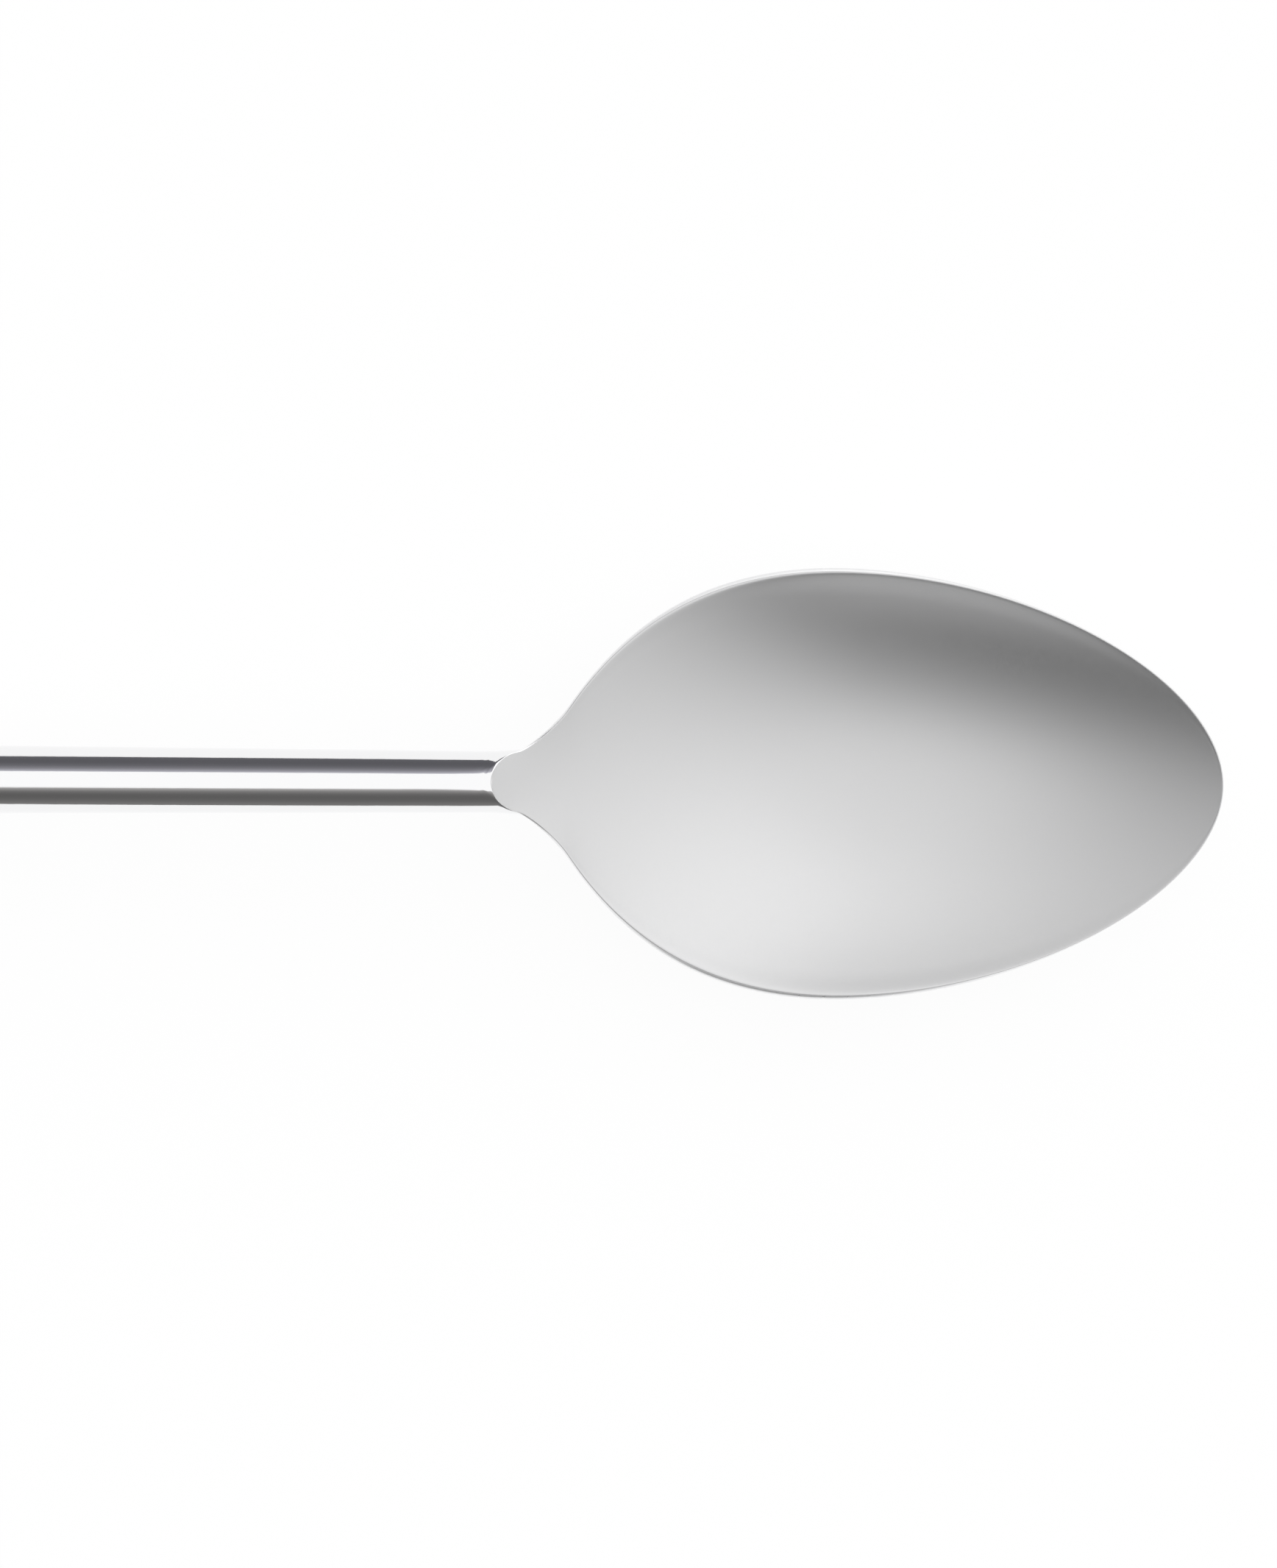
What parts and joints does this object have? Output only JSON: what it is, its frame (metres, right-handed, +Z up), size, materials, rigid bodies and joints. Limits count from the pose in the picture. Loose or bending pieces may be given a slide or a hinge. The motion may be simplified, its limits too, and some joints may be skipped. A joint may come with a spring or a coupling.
{
  "type": "dinner spoon",
  "caption": "Dinner spoon in one piece: a plain round rod handle that opens into an egg-shaped satin bowl with a thin polished lip.",
  "frame": {"origin": "on the table under the middle of the spoon's whole length and width, with the belly of the bowl and the end of the handle resting on the table", "axes": "+X along the spoon from the handle's end to the bowl's tip, +Y to its left seen from above with the tip ahead, +Z up out of the hollow of the bowl"},
  "size_m": [0.205, 0.0418, 0.0166],
  "materials": {
    "steel": "fine satin inside the bowl, mirror polish on the lip, the outside and the handle"
  },
  "bodies": {
    "root": {"spoon": "steel"}
  },
  "joints": []
}
